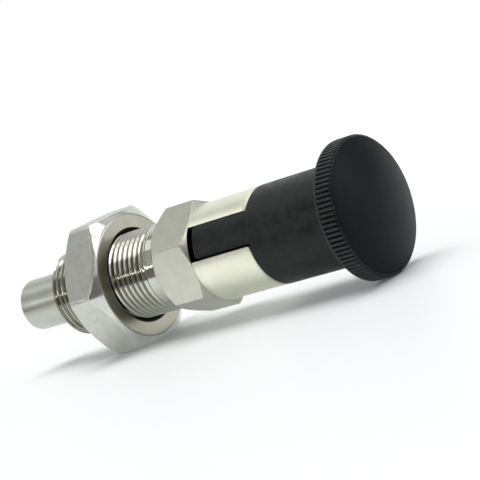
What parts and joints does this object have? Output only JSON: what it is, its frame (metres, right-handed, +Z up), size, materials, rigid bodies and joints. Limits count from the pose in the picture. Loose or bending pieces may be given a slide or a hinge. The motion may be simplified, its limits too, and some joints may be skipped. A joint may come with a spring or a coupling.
{
  "type": "indexing plunger",
  "caption": "Indexing plunger with threaded shank, hex collar, lock nut, slotted sleeve and a knurled mushroom knob that pulls back the sprung pin.",
  "frame": {"origin": "on the plunger's axis, in the plane of the hex collar's seating face", "axes": "+X along the axis from the pin's nose to the knob, +Z up as the plunger lies on a flat of its lock nut and the knob's rim"},
  "size_m": [0.1007, 0.0346, 0.0302],
  "materials": {
    "guide_steel": "turned and milled stainless steel, satin",
    "nut_steel": "milled stainless steel",
    "pin_steel": "ground stainless steel",
    "spring_steel": "drawn spring wire",
    "knob_plastic": "moulded black plastic, matt"
  },
  "bodies": {
    "guide": {"guide_body": "guide_steel", "return_spring": "spring_steel"},
    "nut": {"lock_nut": "nut_steel"},
    "plunger": {"plunger_pin": "pin_steel", "knob": "knob_plastic"}
  },
  "joints": [
    {"name": "pull", "type": "slide", "parent": "guide", "child": "plunger", "axis": [1, 0, 0], "range_m": [0, 0.015], "stiffness_N_per_m": 1730, "springref_m": -0.009, "deforming": ["return_spring"]},
    {"name": "nut_travel", "type": "slide", "parent": "guide", "child": "nut", "axis": [1, 0, 0], "range_m": [-0.009, 0.009]}
  ]
}
